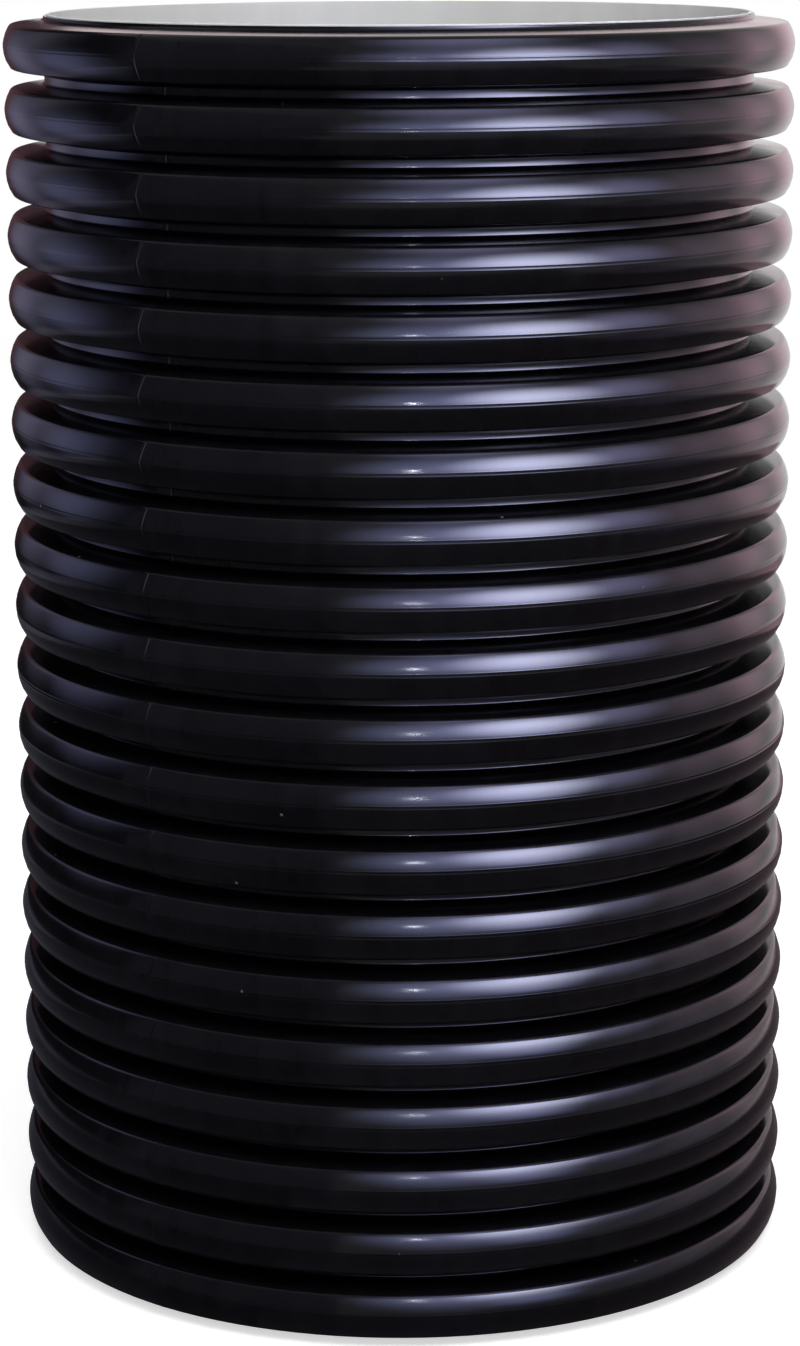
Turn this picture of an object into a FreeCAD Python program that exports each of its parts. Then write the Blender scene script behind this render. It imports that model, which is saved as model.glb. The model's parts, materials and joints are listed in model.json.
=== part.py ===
import FreeCAD, Part
import math
import os
import Sketcher

# Twin-wall corrugated pipe standing on one cut end. Millimetres, +Z along the pipe,
# origin at the centre of the bottom end.

doc = FreeCAD.newDocument("corrugated_pipe")

# ---- driving dimensions -----------------------------------------------------------
dimensions = {
    "crown_diameter": (630.0, "outside diameter over the ribs"),
    "rib_height": (32.0, "crown over valley, both outside"),
    "liner_thickness": (2.2, "smooth inner wall"),
    "wall_thickness": (2.8, "corrugated outer wall, the same all along the wave"),
    "rib_pitch": (50.0, "centre to centre of two ribs"),
    "rib_count": (20, "whole ribs between the two cut ends"),
    "crown_width": (35.0, "rib width where the crown would meet the flanks"),
    "crown_bulge": (5.8, "rise of the crown's arc over its two shoulders"),
    "foot_width": (41.5, "rib width where the flanks would meet the valley"),
    "shoulder_radius": (4.5, "outside radius between crown and flank"),
    "foot_radius": (2.0, "outside radius between flank and valley"),
}
sheet = doc.addObject("Spreadsheet::Sheet", "dims")
for row, (alias, (number, note)) in enumerate(dimensions.items(), start=1):
    sheet.set(f"A{row}", str(number))
    sheet.setAlias(f"A{row}", alias)
    sheet.set(f"B{row}", note)
doc.recompute()

# sizes that follow from them
crown_r = "dims.crown_diameter / 2"
valley_r = f"{crown_r} - dims.rib_height"
liner_r = f"{valley_r} - dims.wall_thickness"
bore_r = f"{liner_r} - dims.liner_thickness"
shoulder_r = f"{crown_r} - dims.crown_bulge"
inner_crown_r = f"{crown_r} - dims.wall_thickness"
half_crown = "dims.crown_width / 2"
half_foot = "dims.foot_width / 2"
half_pitch = "dims.rib_pitch / 2"
pipe_length = "dims.rib_pitch * dims.rib_count"
inner_shoulder_radius = "dims.shoulder_radius - dims.wall_thickness"
inner_foot_radius = "dims.foot_radius + dims.wall_thickness"

# ---- helpers ----------------------------------------------------------------------
START, END, CENTRE = 1, 2, 3
ORIGIN = (-1, START)      # the sketch's origin point
RADIAL_AXIS = -1          # the sketch's horizontal axis
NEAR_END = 0.2            # share of a curve that counts as near its end
UP = FreeCAD.Vector(0, 0, 1)


def value(formula):
    """The number that a formula gives with the sheet as it is."""
    return float(sheet.evalExpression(formula.replace("dims.", "")))


def at(r, z):
    """A place in a sketch, from the pipe's axis and from the sketch's own level."""
    return FreeCAD.Vector(r, z, 0)


def origin_feature(body, role):
    """The body's own origin plane or axis with this role."""
    return next(f for f in body.Origin.OriginFeatures if f.Role == role)


def new_body(name):
    body = doc.addObject("PartDesign::Body", name)
    body.Label = name
    return body


def new_sketch(body, name, plane):
    sketch = body.newObject("Sketcher::SketchObject", name)
    sketch.AttachmentSupport = [(origin_feature(body, plane), "")]
    sketch.MapMode = "FlatFace"
    return sketch


def fix(sketch, kind, *elements):
    sketch.addConstraint(Sketcher.Constraint(kind, *elements))


def drive(sketch, name, formula, kind, *elements):
    """Add a dimension that follows the sheet."""
    index = sketch.addConstraint(Sketcher.Constraint(kind, *elements, value(formula)))
    sketch.renameConstraint(index, name)
    sketch.setExpression(f"Constraints.{name}", formula)


def guide_point(sketch, name, r_formula, z_formula=None):
    """A construction point at a driven radius, on the radial axis or at a driven height."""
    place = at(value(r_formula), value(z_formula) if z_formula else 0)
    point = sketch.addGeometry(Part.Point(place), True)
    drive(sketch, f"{name}_r", r_formula, "DistanceX", *ORIGIN, point, START)
    if z_formula:
        drive(sketch, f"{name}_z", z_formula, "DistanceY", *ORIGIN, point, START)
    else:
        fix(sketch, "PointOnObject", point, START, RADIAL_AXIS)
    return point


def add_line(sketch, start, end):
    return sketch.addGeometry(Part.LineSegment(start, end), False)


def add_crown(sketch, centre, radius, angle, top):
    """The crown's arc, from the rib's middle plane at the guide point top."""
    arc = sketch.addGeometry(Part.ArcOfCircle(Part.Circle(centre, UP, radius), 0, angle), False)
    fix(sketch, "Coincident", arc, START, top, START)
    return arc


def near_end(sketch, curve, end):
    """A place on a curve, close to one of its ends."""
    geometry = sketch.Geometry[curve]
    first, last = geometry.FirstParameter, geometry.LastParameter
    share = 1 - NEAR_END if end == END else NEAR_END
    return geometry.value(first + share * (last - first))


def round_corner(sketch, name, formula, first, first_end, second, second_end):
    """Round the corner where an end of one curve meets an end of another."""
    sketch.fillet(first, second, near_end(sketch, first, first_end),
                  near_end(sketch, second, second_end), value(formula), True, False, False)
    drive(sketch, name, formula, "Radius", sketch.GeometryCount - 1)


# ---- corrugated outer wall --------------------------------------------------------
# The sketch is half of one rib: from the middle of its crown, at the sketch's level 0,
# to the middle of the valley above it.
wall = new_body("corrugated_outer_wall")
wave = new_sketch(wall, "half_rib_section", "XZ_Plane")

crown_top = guide_point(wave, "crown", crown_r)
crown_under = guide_point(wave, "inner_crown", inner_crown_r)
shoulder = guide_point(wave, "shoulder", shoulder_r, half_crown)
foot = guide_point(wave, "foot", valley_r, half_foot)

skin = value("dims.wall_thickness")
floor_r = value(valley_r)
seat_r = value(liner_r)
cut_z = value(half_pitch)
shoulder_at = at(value(shoulder_r), value(half_crown))
foot_at = at(floor_r, value(half_foot))
inner_shoulder_at = shoulder_at - at(skin, skin)
inner_foot_at = at(seat_r, foot_at.y - skin)

# one circle through the crown's top and both shoulders
rise = value("dims.crown_bulge")
arc_radius = (rise**2 + shoulder_at.y**2) / (2 * rise)
arc_centre = at(value(crown_r) - arc_radius, 0)
arc_angle = math.asin(shoulder_at.y / arc_radius)

outer_crown = add_crown(wave, arc_centre, arc_radius, arc_angle, crown_top)
outer_flank = add_line(wave, shoulder_at, foot_at)
outer_floor = add_line(wave, foot_at, at(floor_r, cut_z))
cut = add_line(wave, at(floor_r, cut_z), at(seat_r, cut_z))
inner_floor = add_line(wave, at(seat_r, cut_z), inner_foot_at)
inner_flank = add_line(wave, inner_foot_at, inner_shoulder_at)
inner_crown = add_crown(wave, arc_centre, arc_radius - skin, arc_angle, crown_under)
middle = add_line(wave, at(value(inner_crown_r), 0), at(value(crown_r), 0))

fix(wave, "PointOnObject", outer_crown, CENTRE, RADIAL_AXIS)
fix(wave, "PointOnObject", shoulder, START, outer_crown)
fix(wave, "PointOnObject", shoulder, START, outer_flank)
fix(wave, "PointOnObject", foot, START, outer_flank)
fix(wave, "PointOnObject", foot, START, outer_floor)
fix(wave, "Coincident", outer_crown, END, outer_flank, START)
fix(wave, "Coincident", outer_flank, END, outer_floor, START)
fix(wave, "Coincident", outer_floor, END, cut, START)
fix(wave, "Coincident", cut, END, inner_floor, START)
fix(wave, "Coincident", inner_floor, END, inner_flank, START)
fix(wave, "Coincident", inner_flank, END, inner_crown, END)
fix(wave, "Coincident", inner_crown, CENTRE, outer_crown, CENTRE)
fix(wave, "Coincident", middle, START, inner_crown, START)
fix(wave, "Coincident", middle, END, outer_crown, START)
fix(wave, "Vertical", outer_floor)
fix(wave, "Vertical", inner_floor)
fix(wave, "Horizontal", cut)
fix(wave, "Parallel", outer_flank, inner_flank)
drive(wave, "cut_z", half_pitch, "DistanceY", *ORIGIN, cut, START)
drive(wave, "liner_r", liner_r, "DistanceX", *ORIGIN, cut, END)
drive(wave, "skin", "dims.wall_thickness", "Distance", shoulder, START, inner_flank)
wave.solve()

round_corner(wave, "shoulder_radius", "dims.shoulder_radius", outer_crown, END, outer_flank, START)
round_corner(wave, "foot_radius", "dims.foot_radius", outer_flank, END, outer_floor, START)
round_corner(wave, "inner_foot_radius", inner_foot_radius, inner_floor, END, inner_flank, START)
round_corner(wave, "inner_shoulder_radius", inner_shoulder_radius,
             inner_crown, END, inner_flank, END)

half_rib = wall.newObject("PartDesign::Revolution", "half_rib")
half_rib.Profile = wave
half_rib.ReferenceAxis = (wave, ["V_Axis"])
half_rib.Angle = 360
doc.recompute()

# mirrored to a whole rib, then repeated up the pipe
ribs = wall.newObject("PartDesign::MultiTransform", "ribs")
ribs.Originals = [half_rib]
other_half = wall.newObject("PartDesign::Mirrored", "other_half")
other_half.MirrorPlane = (origin_feature(wall, "XY_Plane"), [""])
rib_stack = wall.newObject("PartDesign::LinearPattern", "rib_stack")
rib_stack.Direction = (origin_feature(wall, "Z_Axis"), [""])
rib_stack.Mode = "Spacing"
rib_stack.setExpression("Offset", "dims.rib_pitch")
rib_stack.setExpression("Occurrences", "dims.rib_count")
ribs.Transformations = [other_half, rib_stack]
wall.Tip = ribs
wall.setExpression("Placement.Base.z", half_pitch)
doc.recompute()

# ---- smooth inner liner -----------------------------------------------------------
liner = new_body("smooth_inner_liner")
ring = new_sketch(liner, "liner_section", "XY_Plane")
for name, formula in [("bore_radius", bore_r), ("outer_radius", liner_r)]:
    circle = ring.addGeometry(Part.Circle(at(0, 0), UP, value(formula)), False)
    fix(ring, "Coincident", circle, CENTRE, *ORIGIN)
    drive(ring, name, formula, "Radius", circle)
tube = liner.newObject("PartDesign::Pad", "liner_tube")
tube.Profile = ring
tube.setExpression("Length", pipe_length)
liner.Tip = tube
doc.recompute()

# ---- check and write --------------------------------------------------------------
bodies = [wall, liner]
for item in doc.Objects:
    if {"Invalid", "Error"} & set(item.State):
        raise RuntimeError(f"{item.Name} did not build: {item.State}")
for body in bodies:
    if body.Shape.isNull() or not body.Shape.isValid() or len(body.Shape.Solids) != 1:
        raise RuntimeError(f"{body.Label} is not one valid solid")

os.makedirs("parts", exist_ok=True)
for body in bodies:
    body.Shape.exportStep(f"parts/{body.Label}.step")
    print(f"{body.Label}: {len(body.Shape.Faces)} faces, {body.Shape.Volume / 1000:.1f} cm3")
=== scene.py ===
import json
import math
import random
import bpy
import numpy as np
from mathutils import Matrix, Vector


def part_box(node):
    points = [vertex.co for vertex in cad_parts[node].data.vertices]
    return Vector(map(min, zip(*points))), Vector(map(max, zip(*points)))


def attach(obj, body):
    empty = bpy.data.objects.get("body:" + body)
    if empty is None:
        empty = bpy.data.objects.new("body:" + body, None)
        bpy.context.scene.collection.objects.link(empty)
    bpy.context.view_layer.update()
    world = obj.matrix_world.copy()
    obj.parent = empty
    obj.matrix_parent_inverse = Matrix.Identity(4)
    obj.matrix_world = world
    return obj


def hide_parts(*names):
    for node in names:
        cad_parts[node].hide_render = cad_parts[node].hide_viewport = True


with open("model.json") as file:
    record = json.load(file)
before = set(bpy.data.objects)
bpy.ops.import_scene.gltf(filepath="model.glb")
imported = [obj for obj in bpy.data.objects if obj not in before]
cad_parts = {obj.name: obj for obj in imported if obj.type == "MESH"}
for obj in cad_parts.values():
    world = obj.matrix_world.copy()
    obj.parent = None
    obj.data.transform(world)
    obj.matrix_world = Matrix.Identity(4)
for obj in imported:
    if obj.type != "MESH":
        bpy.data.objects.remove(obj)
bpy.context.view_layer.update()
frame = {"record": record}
print("frame loaded")

# sizes that come with the frame, in metres
wallNode = "corrugated_outer_wall"
linerNode = "smooth_inner_liner"
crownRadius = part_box(wallNode)[1].x
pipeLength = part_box(wallNode)[1].z
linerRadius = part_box(linerNode)[1].x
boreMount = next(m for m in frame["record"]["mounts"] if m["name"] == "bore")
boreRadius = boreMount["dims"]["r_mm"] / 1000

mm = 0.001
sharpTurn = 60      # degrees; an edge that turns more than this stays sharp
dice = random.Random(11)


# ways round the pipe: angle 0 faces the viewer, and grows to the viewer's right
def roundPipe(radius, angle, height):
    return radius * np.sin(angle), -radius * np.cos(angle), height


def even(start, end, count):
    return [start + (end - start) * i / (count - 1) for i in range(count)]


# one closed section, given as rings of (radius, angle, height) arrays, into a turned mesh
def turnedPiece(name, rings, body, node):
    columns = len(rings[0][1])
    points = np.stack([np.stack(roundPipe(*ring), axis=1) for ring in rings])
    count = len(rings)
    ring = np.arange(count)[:, None]
    column = np.arange(columns)[None, :]
    nextRing = (ring + 1) % count
    nextColumn = (column + 1) % columns
    corners = [ring * columns + column, ring * columns + nextColumn,
               nextRing * columns + nextColumn, nextRing * columns + column]
    quads = np.stack([c.ravel() for c in corners], axis=1)
    mesh = bpy.data.meshes.new(name)
    mesh.from_pydata(points.reshape(-1, 3).tolist(), [], quads.tolist())
    mesh.shade_smooth()
    mesh.set_sharp_from_angle(angle=math.radians(sharpTurn))
    piece = bpy.data.objects.new(name, mesh)
    bpy.context.scene.collection.objects.link(piece)
    weighted = piece.modifiers.new("faceWeights", "WEIGHTED_NORMAL")
    weighted.keep_sharp = True
    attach(piece, body)
    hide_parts(node)
    print(name, "has", 2 * len(quads), "triangles")
    return piece


# the corrugated wall

wall = {
    "ribPitch": 50 * mm,
    "ribHeight": 32 * mm,
    "crownWidth": 35 * mm,
    "crownBulge": 5.8 * mm,
    "footWidth": 41.5 * mm,
    "shoulderRadius": 4.5 * mm,
    "footRadius": 2 * mm,
    "columns": 116,
    "topStep": 1.3 * mm,        # the wall's cut ends this far under the liner's lip
    "topChamfer": 0.3 * mm,
    "skinUnder": 0.45 * mm,     # room for the relief inside the pipe's outside diameter
    "crownStops": (0.35, 0.68),  # rings between the crown's middle and its end, as shares
    "shoulderSteps": 4,
    "footSteps": 3,
    "mouldLines": [             # distance along the section from the crown's middle, height, width
        (2.5 * mm, 0.16 * mm, 0.9 * mm),
        (-0.1 * mm, 0.11 * mm, 0.8 * mm),
        (16.2 * mm, 0.06 * mm, 0.9 * mm),
    ],
    "lineStops": (-1, -0.5, 0, 0.5, 1),     # rings across a mould line, in its widths
    "lineSpread": 0.6,          # in the line's widths
    "seamAngle": -37.6,         # degrees; the other seam is opposite
    "seamRidge": 0.50 * mm,
    "seamGroove": 0.25 * mm,
    "seamWidth": 0.95 * mm,
    "seamStops": (-5, -3.2, -2.4, -1.6, -0.9, -0.4, 0, 0.4, 0.9, 1.8, 3.5),  # in seam widths
    "seamClear": 6,             # no other columns this near to a seam, in seam widths
    "ridgeSpread": 0.7,         # this and the next three are in seam widths too
    "grooveSpread": 1,
    "groovePlace": -1.9,
    "kinkSpread": 8,
    "seamKink": 2.4 * mm,       # the seam leans over to one side at the crown's middle
    "kinkReach": 0.4,           # up to this share of the crown's width from its middle
    "seamWander": 0.8 * mm,
    "waves": [(3, 0.10 * mm), (5, 0.07 * mm), (8, 0.05 * mm), (13, 0.035 * mm), (21, 0.02 * mm)],
    "waveTwist": 9.0,           # radians in a metre of height
}


# half a rib's section from the crown's middle to the valley's, as arcs and lines:
# each is its length, and a function that gives the point and the normal at a share of it
def halfSection():
    crownR = crownRadius - wall["skinUnder"]
    valleyR = crownR - wall["ribHeight"]
    rise, reach = wall["crownBulge"], wall["crownWidth"] / 2
    arcR = (rise ** 2 + reach ** 2) / (2 * rise)
    arcC = np.array([crownR - arcR, 0.0])
    shoulder = np.array([crownR - rise, reach])
    foot = np.array([valleyR, wall["footWidth"] / 2])
    along = (foot - shoulder) / np.linalg.norm(foot - shoulder)
    out = np.array([along[1], -along[0]])
    # the shoulder's arc touches the flank and, from inside, the crown's arc
    rho = wall["shoulderRadius"]
    base = shoulder - rho * out - arcC
    slope = base @ along
    travel = -slope - math.sqrt(slope ** 2 - base @ base + (arcR - rho) ** 2)
    shoulderC = arcC + base + travel * along
    crownTurn = math.atan2(shoulderC[1], shoulderC[0] - arcC[0])
    flankTurn = math.atan2(out[1], out[0])
    # the foot's arc touches the flank and the valley
    hollow = wall["footRadius"]
    offFlank = shoulder + hollow * out
    footR = valleyR + hollow
    footC = np.array([footR, offFlank[1] + along[1] * (footR - offFlank[0]) / along[0]])

    def arc(centre, radius, start, end, side):
        def at(share):
            turn = start + (end - start) * share
            way = np.array([math.cos(turn), math.sin(turn)])
            return centre + radius * way, side * way
        return abs(end - start) * radius, at

    def line(start, end, normal):
        return np.linalg.norm(end - start), lambda share: (start + (end - start) * share, normal)

    return [
        arc(arcC, arcR, 0.0, crownTurn, 1),
        arc(shoulderC, rho, crownTurn, flankTurn, 1),
        line(shoulderC + rho * out, footC - hollow * out, out),
        arc(footC, hollow, flankTurn + math.pi, math.pi, -1),
        line(np.array([valleyR, footC[1]]), np.array([valleyR, wall["ribPitch"] / 2]),
             np.array([1.0, 0.0])),
    ]


# where along the section the rings lie, crown's middle at 0
def sectionStops(pieces):
    ends = np.cumsum([length for length, _ in pieces])
    crownEnd, shoulderEnd, flankEnd, footEnd, floorEnd = ends
    half = [share * crownEnd for share in wall["crownStops"]]
    half += even(crownEnd, shoulderEnd, wall["shoulderSteps"])[1:]
    half += even(flankEnd, footEnd, wall["footSteps"])
    stops = [-s for s in half] + half + [floorEnd]
    for place, _, width in wall["mouldLines"]:
        stops += [place + width * step for step in wall["lineStops"]]
    return sorted(stops)


def sectionPoint(pieces, stop):
    left = abs(stop)
    for length, at in pieces:
        if left <= length or length is pieces[-1][0]:
            point, normal = at(min(left / length, 1.0))
            break
        left -= length
    point, normal = point.copy(), normal.copy()
    if stop < 0:
        point[1], normal[1] = -point[1], -normal[1]
    relief = sum(height * math.exp(-((stop - place) / (wall["lineSpread"] * width)) ** 2)
                 for place, height, width in wall["mouldLines"])
    return point + relief * normal


# the columns' ways round: even, but closer together at the two seams
def wallAngles():
    seams = [math.radians(wall["seamAngle"] + turn) for turn in (0, 180)]
    width = wall["seamWidth"]
    near = [seam + k * width / crownRadius for seam in seams for k in wall["seamStops"]]
    clear = wall["seamClear"] * width / crownRadius
    plain = [2 * math.pi * i / wall["columns"] - math.pi for i in range(wall["columns"])]

    def gap(angle, seam):
        return abs((angle - seam + math.pi) % (2 * math.pi) - math.pi)

    kept = [a for a in plain if all(gap(a, seam) > clear for seam in seams)]
    wrapped = [(a + math.pi) % (2 * math.pi) - math.pi for a in near]
    return np.array(sorted(kept + wrapped)), seams


# the relief of one ring: low waves that differ from rib to rib, and the two seams
def wallRing(radius, height, angles, seams, phases, wander):
    out = np.zeros_like(angles)
    for (count, size), phase in zip(wall["waves"], phases):
        out += size * np.cos(count * angles + phase + wall["waveTwist"] * height)
    turned = angles.copy()
    for seam in seams:
        away = (angles - seam + math.pi) % (2 * math.pi) - math.pi
        away = away * crownRadius / wall["seamWidth"]
        out += wall["seamRidge"] * np.exp(-(away / wall["ridgeSpread"]) ** 2)
        out -= wall["seamGroove"] * np.exp(-((away - wall["groovePlace"]) / wall["grooveSpread"]) ** 2)
        turned += wander / crownRadius * np.exp(-(away / wall["kinkSpread"]) ** 2)
    return radius + out, turned, np.full_like(angles, height)


def buildWall():
    pieces = halfSection()
    stops = sectionStops(pieces)
    angles, seams = wallAngles()
    ribCount = round(pipeLength / wall["ribPitch"])
    rings = []

    def cutRing(radius, height):
        rings.append((np.full_like(angles, radius), angles, np.full_like(angles, height)))

    valleyR = sectionPoint(pieces, stops[-1])[0]
    cutRing(valleyR, 0.0)
    for rib in range(ribCount):
        centre = (rib + 0.5) * wall["ribPitch"]
        phases = [dice.uniform(0, 2 * math.pi) for w in wall["waves"]]
        kink = wall["seamKink"] + dice.uniform(-1, 1) * wall["seamWander"]
        for stop in stops:
            if rib == ribCount - 1 and stop == stops[-1]:
                break
            radius, lift = sectionPoint(pieces, stop)
            bend = -kink * max(0.0, 1 - abs(stop) / (wall["kinkReach"] * wall["crownWidth"]))
            rings.append(wallRing(radius, centre + lift, angles, seams, phases, bend))
    top = pipeLength - wall["topStep"]
    cutRing(valleyR, top - wall["topChamfer"])
    cutRing(valleyR - wall["topChamfer"], top)
    cutRing(linerRadius, top)
    # the hollow inside each rib, behind the skin
    skin = valleyR - linerRadius
    hollowR = crownRadius - wall["crownBulge"] - skin
    hollowTop = wall["crownWidth"] / 2 - skin
    hollowFoot = wall["footWidth"] / 2 - skin
    for rib in reversed(range(ribCount)):
        centre = (rib + 0.5) * wall["ribPitch"]
        cutRing(linerRadius, centre + hollowFoot)
        cutRing(hollowR, centre + hollowTop)
        cutRing(hollowR, centre - hollowTop)
        cutRing(linerRadius, centre - hollowFoot)
    cutRing(linerRadius, 0.0)
    return turnedPiece("corrugatedWall", rings, "root", wallNode)


# the smooth liner

liner = {
    "columns": 144,
    "lipRadius": 0.7 * mm,
    "lipSteps": 4,              # rings over each quarter of the lip
    "ripple": 0.10 * mm,        # a faint ring at every rib
    "ringsPerRib": 6,
    "waves": [(2, 0.12 * mm), (7, 0.05 * mm), (12, 0.03 * mm)],
    "waveTwist": 3.0,           # radians in a metre of height
}


def buildLiner():
    angles = np.array([2 * math.pi * i / liner["columns"] for i in range(liner["columns"])])
    phases = [dice.uniform(0, 2 * math.pi) for w in liner["waves"]]
    lip = liner["lipRadius"]
    pitch = wall["ribPitch"]
    rings = []

    def ring(radius, height, relief=0.0):
        wave = sum(size * np.cos(count * angles + phase + liner["waveTwist"] * height)
                   for (count, size), phase in zip(liner["waves"], phases))
        rings.append((radius + relief * wave, angles, np.full_like(angles, height)))

    steps = round(pipeLength / pitch) * liner["ringsPerRib"]
    for step in range(1, steps):
        height = pipeLength * (1 - step / steps)
        ripple = liner["ripple"] * (1 - math.cos(2 * math.pi * height / pitch)) / 2
        fade = min(1.0, height / pitch, (pipeLength - height) / pitch)
        ring(boreRadius + ripple, height, fade)
    ring(boreRadius, lip)
    ring(boreRadius + lip, 0.0)
    ring(linerRadius - lip, 0.0)
    ring(linerRadius, lip)
    ring(linerRadius, pipeLength - lip)
    for turn in even(0, math.pi / 2, liner["lipSteps"])[1:]:
        ring(linerRadius - lip + lip * math.cos(turn), pipeLength - lip + lip * math.sin(turn))
    for turn in even(math.pi / 2, math.pi, liner["lipSteps"]):
        ring(boreRadius + lip + lip * math.cos(turn), pipeLength - lip + lip * math.sin(turn))
    return turnedPiece("smoothLiner", rings[::-1], "root", linerNode)


wallPiece = buildWall()
linerPiece = buildLiner()


# node helpers
def newMaterial(name):
    material = bpy.data.materials.new(name)
    material.use_nodes = True
    return material, material.node_tree, material.node_tree.nodes["Principled BSDF"]


def addNode(tree, kind, where, inputs=None, **settings):
    node = tree.nodes.new(kind)
    node.location = where
    for key, setting in settings.items():
        setattr(node, key, setting)
    for key, setting in (inputs or {}).items():
        node.inputs[key].default_value = setting
    return node


# materials

markLook = {
    "streakDraw": 0.06,         # scale along the pipe against round it
    "cloudScale": 7.0,
    "speckEdge": 0.040,         # from its middle, in cells: a speck ends here
    "speckCore": 0.018,         # and is full inside this
    "speckLack": 0.55,          # share of the cells that have no speck
}


# marks that an extruded skin has: streaks along the pipe, a fine grain, clouds and specks
def skinMarks():
    group = bpy.data.node_groups.new("skinMarks", "ShaderNodeTree")
    for name in ("Streak Scale", "Streak Height", "Grain Scale", "Grain Height", "Speck Scale",
                 "Speck Height"):
        group.interface.new_socket(name=name, in_out="INPUT", socket_type="NodeSocketFloat")
    for name in ("Height", "Cloud", "Streak", "Speck"):
        group.interface.new_socket(name=name, in_out="OUTPUT", socket_type="NodeSocketFloat")
    link = group.links.new
    given = addNode(group, "NodeGroupInput", (-1400, 0))
    out = addNode(group, "NodeGroupOutput", (700, 0))
    place = addNode(group, "ShaderNodeTexCoord", (-1400, 300))

    def centred(fac, height, where):
        level = addNode(group, "ShaderNodeMath", where, operation="SUBTRACT")
        level.inputs[1].default_value = 0.5
        scaled = addNode(group, "ShaderNodeMath", (where[0] + 180, where[1]), operation="MULTIPLY")
        link(fac, level.inputs[0])
        link(level.outputs[0], scaled.inputs[0])
        link(height, scaled.inputs[1])
        return scaled.outputs[0]

    # streaks: noise that is drawn out along the pipe
    drawn = addNode(group, "ShaderNodeMapping", (-1100, 400))
    drawn.inputs["Scale"].default_value = (1.0, 1.0, markLook["streakDraw"])
    link(place.outputs["Object"], drawn.inputs["Vector"])
    streak = addNode(group, "ShaderNodeTexNoise", (-850, 400), {"Detail": 3.0, "Roughness": 0.55})
    link(drawn.outputs["Vector"], streak.inputs["Vector"])
    link(given.outputs["Streak Scale"], streak.inputs["Scale"])
    streakUp = centred(streak.outputs["Fac"], given.outputs["Streak Height"], (-500, 400))

    grain = addNode(group, "ShaderNodeTexNoise", (-850, 100), {"Detail": 2.0})
    link(place.outputs["Object"], grain.inputs["Vector"])
    link(given.outputs["Grain Scale"], grain.inputs["Scale"])
    grainUp = centred(grain.outputs["Fac"], given.outputs["Grain Height"], (-500, 100))

    # specks: a small round spot in a few cells of a cell pattern
    cells = addNode(group, "ShaderNodeTexVoronoi", (-850, -200))
    link(place.outputs["Object"], cells.inputs["Vector"])
    link(given.outputs["Speck Scale"], cells.inputs["Scale"])
    spot = addNode(group, "ShaderNodeMapRange", (-600, -200),
                   {"From Min": markLook["speckEdge"], "From Max": markLook["speckCore"]},
                   interpolation_type="SMOOTHSTEP")
    link(cells.outputs["Distance"], spot.inputs["Value"])
    pick = addNode(group, "ShaderNodeSeparateColor", (-600, -450))
    link(cells.outputs["Color"], pick.inputs["Color"])
    few = addNode(group, "ShaderNodeMath", (-400, -450), operation="GREATER_THAN")
    few.inputs[1].default_value = markLook["speckLack"]
    link(pick.outputs["Red"], few.inputs[0])
    speck = addNode(group, "ShaderNodeMath", (-200, -300), operation="MULTIPLY")
    link(spot.outputs["Result"], speck.inputs[0])
    link(few.outputs[0], speck.inputs[1])
    speckUp = addNode(group, "ShaderNodeMath", (0, -300), operation="MULTIPLY")
    link(speck.outputs[0], speckUp.inputs[0])
    link(given.outputs["Speck Height"], speckUp.inputs[1])

    cloud = addNode(group, "ShaderNodeTexNoise", (-850, 700),
                    {"Scale": markLook["cloudScale"], "Detail": 5.0, "Roughness": 0.6,
                     "Distortion": 0.3})
    link(place.outputs["Object"], cloud.inputs["Vector"])

    both = addNode(group, "ShaderNodeMath", (200, 200), operation="ADD")
    link(streakUp, both.inputs[0])
    link(grainUp, both.inputs[1])
    total = addNode(group, "ShaderNodeMath", (400, 100), operation="ADD")
    link(both.outputs[0], total.inputs[0])
    link(speckUp.outputs[0], total.inputs[1])
    link(total.outputs[0], out.inputs["Height"])
    link(cloud.outputs["Fac"], out.inputs["Cloud"])
    link(streak.outputs["Fac"], out.inputs["Streak"])
    link(speck.outputs[0], out.inputs["Speck"])
    return group


marks = skinMarks()

wallLook = {
    "base": (0.0018, 0.0018, 0.0026, 1),
    "haze": (0.0050, 0.0050, 0.0068, 1),
    "dust": (0.10, 0.10, 0.11, 1),
    "smooth": 0.10,
    "worn": 0.19,
    "specular": 0.10,
    "marks": {"Streak Scale": 70.0, "Streak Height": 0.00005, "Grain Scale": 800.0,
              "Grain Height": 0.000003, "Speck Scale": 26.0, "Speck Height": 0.00012},
}
linerLook = {
    "base": (0.60, 0.60, 0.595, 1),
    "haze": (0.66, 0.66, 0.655, 1),
    "dust": (0.30, 0.29, 0.27, 1),
    "smooth": 0.50,
    "worn": 0.62,
    "specular": 0.06,
    "marks": {"Streak Scale": 45.0, "Streak Height": 0.00006, "Grain Scale": 600.0,
              "Grain Height": 0.000006, "Speck Scale": 18.0, "Speck Height": 0.00010},
}


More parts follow.
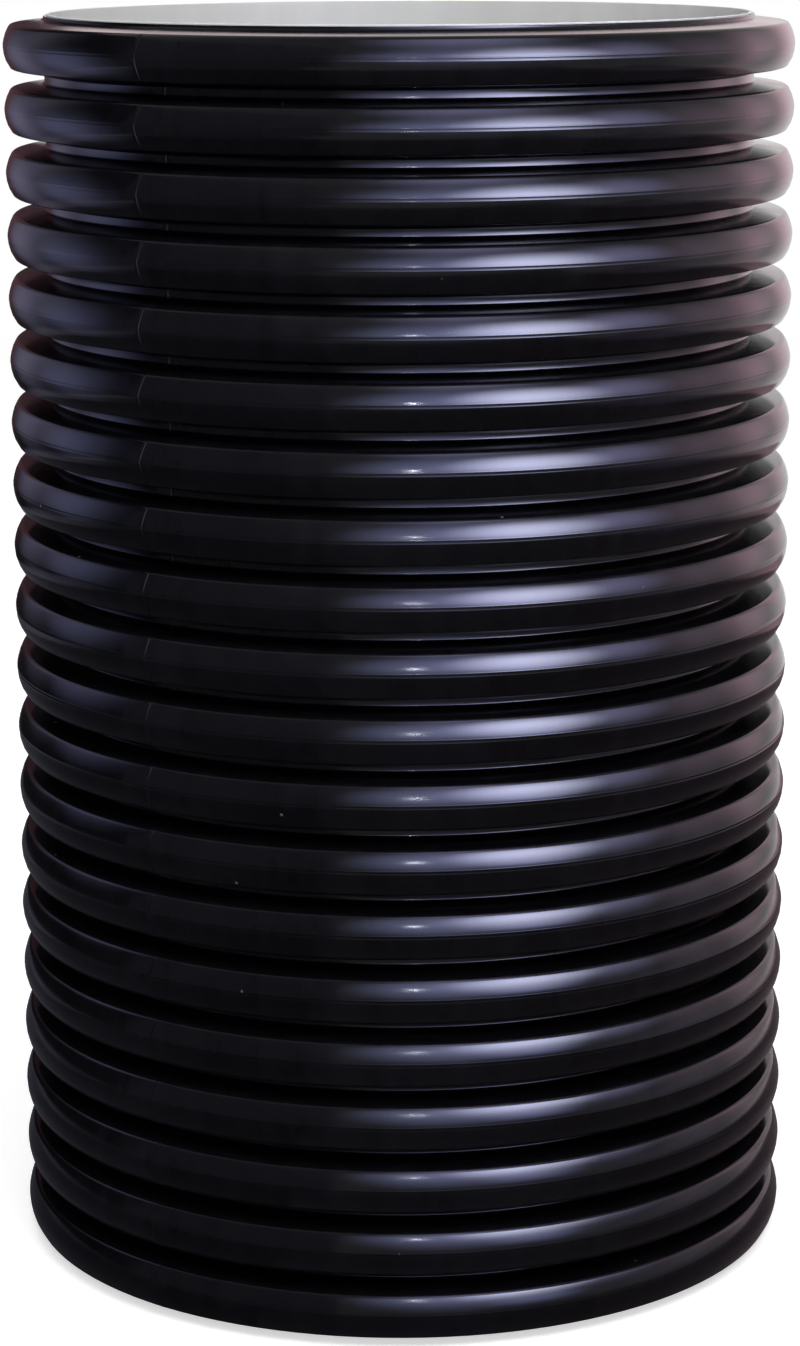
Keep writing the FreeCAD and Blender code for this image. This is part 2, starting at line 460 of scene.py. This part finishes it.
def plasticMaterial(name, look):
    material, tree, shader = newMaterial(name)
    link = tree.links.new
    marked = addNode(tree, "ShaderNodeGroup", (-1000, 0), node_tree=marks)
    for socket, setting in look["marks"].items():
        marked.inputs[socket].default_value = setting
    # cloudy tone, a little lighter along the streaks, and dust in the specks
    blend = addNode(tree, "ShaderNodeMath", (-750, 200), operation="MULTIPLY")
    link(marked.outputs["Cloud"], blend.inputs[0])
    link(marked.outputs["Streak"], blend.inputs[1])
    spread = addNode(tree, "ShaderNodeMapRange", (-580, 200), {"From Min": 0.1, "From Max": 0.42})
    link(blend.outputs[0], spread.inputs["Value"])
    tone = addNode(tree, "ShaderNodeMix", (-380, 250), data_type="RGBA")
    tone.inputs["A"].default_value = look["base"]
    tone.inputs["B"].default_value = look["haze"]
    link(spread.outputs["Result"], tone.inputs["Factor"])
    dusty = addNode(tree, "ShaderNodeMix", (-180, 250), data_type="RGBA")
    dusty.inputs["B"].default_value = look["dust"]
    link(marked.outputs["Speck"], dusty.inputs["Factor"])
    link(tone.outputs["Result"], dusty.inputs["A"])
    link(dusty.outputs["Result"], shader.inputs["Base Color"])
    rough = addNode(tree, "ShaderNodeMapRange", (-380, -50),
                    {"From Min": 0.3, "From Max": 0.7,
                     "To Min": look["smooth"], "To Max": look["worn"]})
    link(marked.outputs["Cloud"], rough.inputs["Value"])
    link(rough.outputs["Result"], shader.inputs["Roughness"])
    bump = addNode(tree, "ShaderNodeBump", (-380, -300), {"Strength": 1.0, "Distance": 1.0})
    link(marked.outputs["Height"], bump.inputs["Height"])
    link(bump.outputs["Normal"], shader.inputs["Normal"])
    shader.inputs["Specular IOR Level"].default_value = look["specular"]
    return material


wallPiece.data.materials.append(plasticMaterial("blackPolyethylene", wallLook))
linerPiece.data.materials.append(plasticMaterial("lightGreyPolyethylene", linerLook))
print("materials made")

# the room: a pale floor, a white surround and soft lights

room = {
    "floorSize": 12.0,
    "floorColor": (0.8, 0.8, 0.8, 1),
    "floorGlow": 0.60,
    "surround": 0.45,
    "camera": (0.0, -2.9115, 1.097),
    "pitch": 10.65,
    "roll": 0.21,
    "lens": 96.6,
    "sensor": 36,
    "shift": (-0.0007, -0.0789),
}


# 1 where the camera, a reflection or a clear material looks straight at the surround
def seenRay(tree):
    path = addNode(tree, "ShaderNodeLightPath", (-900, -200))
    first = addNode(tree, "ShaderNodeMath", (-650, -200), operation="MAXIMUM")
    tree.links.new(path.outputs["Is Camera Ray"], first.inputs[0])
    tree.links.new(path.outputs["Is Glossy Ray"], first.inputs[1])
    both = addNode(tree, "ShaderNodeMath", (-450, -200), operation="MAXIMUM")
    tree.links.new(first.outputs[0], both.inputs[0])
    tree.links.new(path.outputs["Is Transmission Ray"], both.inputs[1])
    return both.outputs[0]


def buildFloor():
    half = room["floorSize"] / 2
    mesh = bpy.data.meshes.new("floor")
    mesh.from_pydata([(-half, -half, 0), (half, -half, 0), (half, half, 0), (-half, half, 0)],
                     [], [(0, 1, 2, 3)])
    floor = bpy.data.objects.new("floor", mesh)
    bpy.context.scene.collection.objects.link(floor)
    material, tree, shader = newMaterial("paleFloor")
    shader.inputs["Base Color"].default_value = room["floorColor"]
    shader.inputs["Roughness"].default_value = 0.9
    shader.inputs["Specular IOR Level"].default_value = 0.0
    shader.inputs["Emission Color"].default_value = (1, 1, 1, 1)
    glow = addNode(tree, "ShaderNodeMath", (-250, -200), operation="MULTIPLY")
    glow.inputs[1].default_value = room["floorGlow"]
    tree.links.new(seenRay(tree), glow.inputs[0])
    tree.links.new(glow.outputs[0], shader.inputs["Emission Strength"])
    mesh.materials.append(material)


def buildWorld():
    world = bpy.data.worlds.new("studio")
    world.use_nodes = True
    tree = world.node_tree
    link = tree.links.new
    background = tree.nodes["Background"]
    level = addNode(tree, "ShaderNodeMapRange", (-250, 0), {"To Min": room["surround"]})
    link(seenRay(tree), level.inputs["Value"])
    link(level.outputs["Result"], background.inputs["Strength"])
    background.inputs["Color"].default_value = (1, 1, 1, 1)
    bpy.context.scene.world = world


# soft boxes round the pipe, brightest in their middle: way round in degrees, distance,
# height of the middle, width, tall, height that they aim at, color, radiance. The ones on the
# floor face up. They all show as gloss only, so that they don't overlight the room.
panels = {
    "keyPanel": (35.5, 2.3, 1.46, 2.4, 1.9, 1.46, (0.69, 0.71, 1.0), 92),
    "widePanel": (12, 2.3, 1.34, 2.9, 2.5, 1.34, (0.50, 0.53, 1.0), 22),
    "rightPanel": (62, 2.3, 1.5, 2.0, 2.2, 1.5, (0.59, 0.56, 1.0), 16),
    "sidePanel": (90, 2.3, 1.25, 1.8, 2.5, 1.25, (1.0, 0.66, 0.95), 2.9),
    "warmPanel": (115, 2.2, 1.05, 1.6, 2.6, 1.05, (1.0, 0.58, 0.75), 3.2),
    "warmBackPanel": (142, 2.2, 1.2, 1.6, 2.6, 1.2, (1.0, 0.42, 0.60), 1.0),
    "farPanel": (38, 6.0, 1.45, 4.4, 1.9, 1.45, (0.44, 0.47, 1.0), 18),
    "lowPanel": (75, 1.5, 0.25, 2.4, 0.5, 0.3, (0.75, 0.56, 1.0), 1.0),
    "warmFloorPanel": (125, 1.8, 0.02, 3.2, 2.2, 9.0, (1.0, 0.60, 0.72), 0.8),
    "coolNearPanel": (-92, 0.85, 0.78, 0.7, 0.85, 0.78, (0.53, 0.55, 1.0), 2.9),
    "coolPanel": (-118, 0.85, 0.85, 0.8, 1.0, 0.85, (0.70, 0.65, 1.0), 0.95),
    "coolHighPanel": (-118, 2.0, 1.7, 1.4, 1.6, 1.7, (0.80, 0.76, 1.0), 0.6),
    "coolFloorPanel": (-112, 1.7, 0.02, 3.0, 1.6, 9.0, (0.75, 0.70, 1.0), 0.4),
    "edgePanel": (-155, 2.0, 1.2, 1.2, 2.4, 1.2, (1.0, 0.42, 0.55), 0.17),
    "overheadPanel": (22, 1.9, 2.85, 3.0, 2.2, 1.0, (0.57, 0.56, 1.0), 18),
    "backPanel": (180, 3.0, 1.9, 5.0, 2.4, 1.9, (1.0, 0.35, 0.45), 0.5),
    "spotLamp": (3.5, 2.95, 1.42, 0.10, 0.07, 1.42, (0.9, 0.95, 1.0), 2600),
}
soft = {"angle": 15, "distance": 1.6, "height": 3.1, "size": 2.6, "power": 80}
# dark cards that only reflections see, as a studio's flags; their colours are painted reflections of
# the room's dark and tinted parts, and the lying ones of a darker floor round the pipe. Way round in
# degrees, near edge, far edge, width, height of the far edge, color. Two stand, and three lie round
# the pipe, each at a height of its own.
cards = {
    "sideFlag": (-122, 2.1, 2.1, 4.4, 2.8, (0.02, 0.02, 0.02, 1)),
    "frontLeftFlag": (-50, 2.3, 2.3, 2.9, 2.6, (0.50, 0.48, 0.60, 1)),
    "leftFloorFlag": (-112, 0.0, 2.1, 4.0, 0.004, (0.12, 0.12, 0.15, 1)),
    "rightFloorFlag": (112, 0.0, 2.1, 3.6, 0.005, (0.22, 0.17, 0.19, 1)),
    "frontFloorFlag": (0, 0.0, 2.1, 3.6, 0.003, (0.24, 0.24, 0.29, 1)),
}


def areaLamp(name, angle, distance, height, width, tall, aimHeight, color, power):
    light = bpy.data.lights.new(name, "AREA")
    light.shape = "RECTANGLE"
    light.size, light.size_y = width, tall
    light.color = color
    light.energy = power
    lamp = bpy.data.objects.new(name, light)
    bpy.context.scene.collection.objects.link(lamp)
    lamp.location = [float(n) for n in roundPipe(distance, math.radians(angle), height)]
    toAim = Vector((0, 0, aimHeight)) - lamp.location
    lamp.rotation_euler = toAim.to_track_quat("-Z", "Y").to_euler()
    lamp.visible_camera = False
    return lamp


# a soft box fades from its middle to its edges
def fadeToEdges(light):
    light.use_nodes = True
    tree = light.node_tree
    link = tree.links.new
    place = addNode(tree, "ShaderNodeNewGeometry", (-1000, 0))
    middle = addNode(tree, "ShaderNodeVectorMath", (-800, 0), operation="SUBTRACT")
    middle.inputs[1].default_value = (0.5, 0.5, 0.0)
    reach = addNode(tree, "ShaderNodeVectorMath", (-600, 0), operation="LENGTH")
    fade = addNode(tree, "ShaderNodeMapRange", (-400, 0),
                   {"From Min": 0.5, "From Max": 0.0}, interpolation_type="SMOOTHSTEP")
    link(place.outputs["Parametric"], middle.inputs[0])
    link(middle.outputs[0], reach.inputs[0])
    link(reach.outputs["Value"], fade.inputs["Value"])
    link(fade.outputs["Result"], tree.nodes["Emission"].inputs["Strength"])


def addLamps():
    for name, (angle, distance, height, width, tall, aim, color, radiance) in panels.items():
        power = radiance * math.pi * width * tall
        lamp = areaLamp(name, angle, distance, height, width, tall, aim, color, power)
        lamp.visible_diffuse = False
        fadeToEdges(lamp.data)
    lamp = areaLamp("softLamp", soft["angle"], soft["distance"], soft["height"], soft["size"],
                    soft["size"], 0.5 * pipeLength, (1, 1, 1), soft["power"])
    lamp.visible_glossy = False


def addCards():
    for name, (angle, near, far, width, height, color) in cards.items():
        half = width / 2
        foot = 0.0 if near == far else height
        mesh = bpy.data.meshes.new(name)
        mesh.from_pydata([(-half, -near, foot), (half, -near, foot), (half, -far, height),
                          (-half, -far, height)], [], [(0, 1, 2, 3)])
        card = bpy.data.objects.new(name, mesh)
        bpy.context.scene.collection.objects.link(card)
        card.rotation_euler.z = math.radians(angle)
        material, tree, shader = newMaterial(name)
        # the card's colour is a painted reflection: only the pipe's gloss shows it
        shader.inputs["Base Color"].default_value = color
        shader.inputs["Roughness"].default_value = 1.0
        shader.inputs["Specular IOR Level"].default_value = 0.0
        mesh.materials.append(material)
        card.visible_camera = card.visible_diffuse = card.visible_shadow = False
        card.visible_transmission = False


def addCamera():
    data = bpy.data.cameras.new("mainCamera")
    data.lens = room["lens"]
    data.sensor_width = room["sensor"]
    data.shift_x, data.shift_y = room["shift"]
    camera = bpy.data.objects.new("mainCamera", data)
    bpy.context.scene.collection.objects.link(camera)
    turn = Matrix.Rotation(math.radians(90 - room["pitch"]), 4, "X")
    camera.matrix_world = (Matrix.Translation(room["camera"]) @ turn
                           @ Matrix.Rotation(math.radians(-room["roll"]), 4, "Z"))
    bpy.context.scene.camera = camera


buildFloor()
buildWorld()
addLamps()
addCards()
addCamera()
bpy.context.scene.view_settings.view_transform = "Standard"
print("room and camera set")
